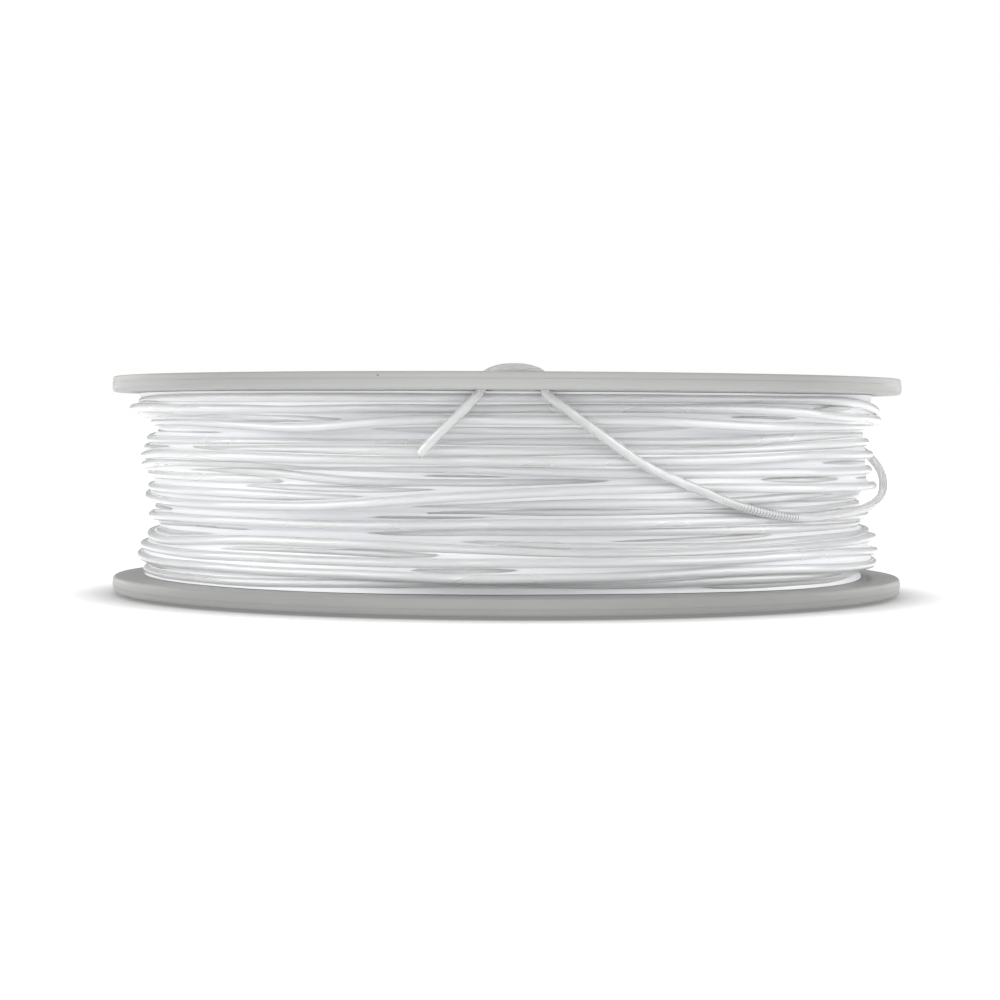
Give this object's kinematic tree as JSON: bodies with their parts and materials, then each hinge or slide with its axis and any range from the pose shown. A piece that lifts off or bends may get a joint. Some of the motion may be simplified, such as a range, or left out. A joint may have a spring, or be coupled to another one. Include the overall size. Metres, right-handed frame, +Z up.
{
  "type": "line spool",
  "caption": "Round two-flange spool wound with thick clear monofilament line, its loose end tucked through holes in the upper flange.",
  "frame": {"origin": "centre of the face that the spool stands on, on its turning axis", "axes": "+Z up along the turning axis, -Y towards the tuck holes of the upper flange, +X to the right of them"},
  "size_m": [0.2, 0.2, 0.0565],
  "materials": {
    "flange_plastic": "satin pale warm grey moulded plastic",
    "hub_plastic": "satin grey moulded plastic",
    "arbor_plastic": "smooth off-white moulded plastic",
    "clear_line": "clear, slightly milky monofilament with a wet gloss"
  },
  "bodies": {
    "root": {"lower_flange": "flange_plastic", "upper_flange": "flange_plastic", "hub_drum": "hub_plastic", "arbor_sleeve": "arbor_plastic", "arbor_lock_ring": "arbor_plastic", "line_pack": "clear_line", "line_free_end": "clear_line", "line_inner_end": "clear_line"}
  },
  "joints": []
}
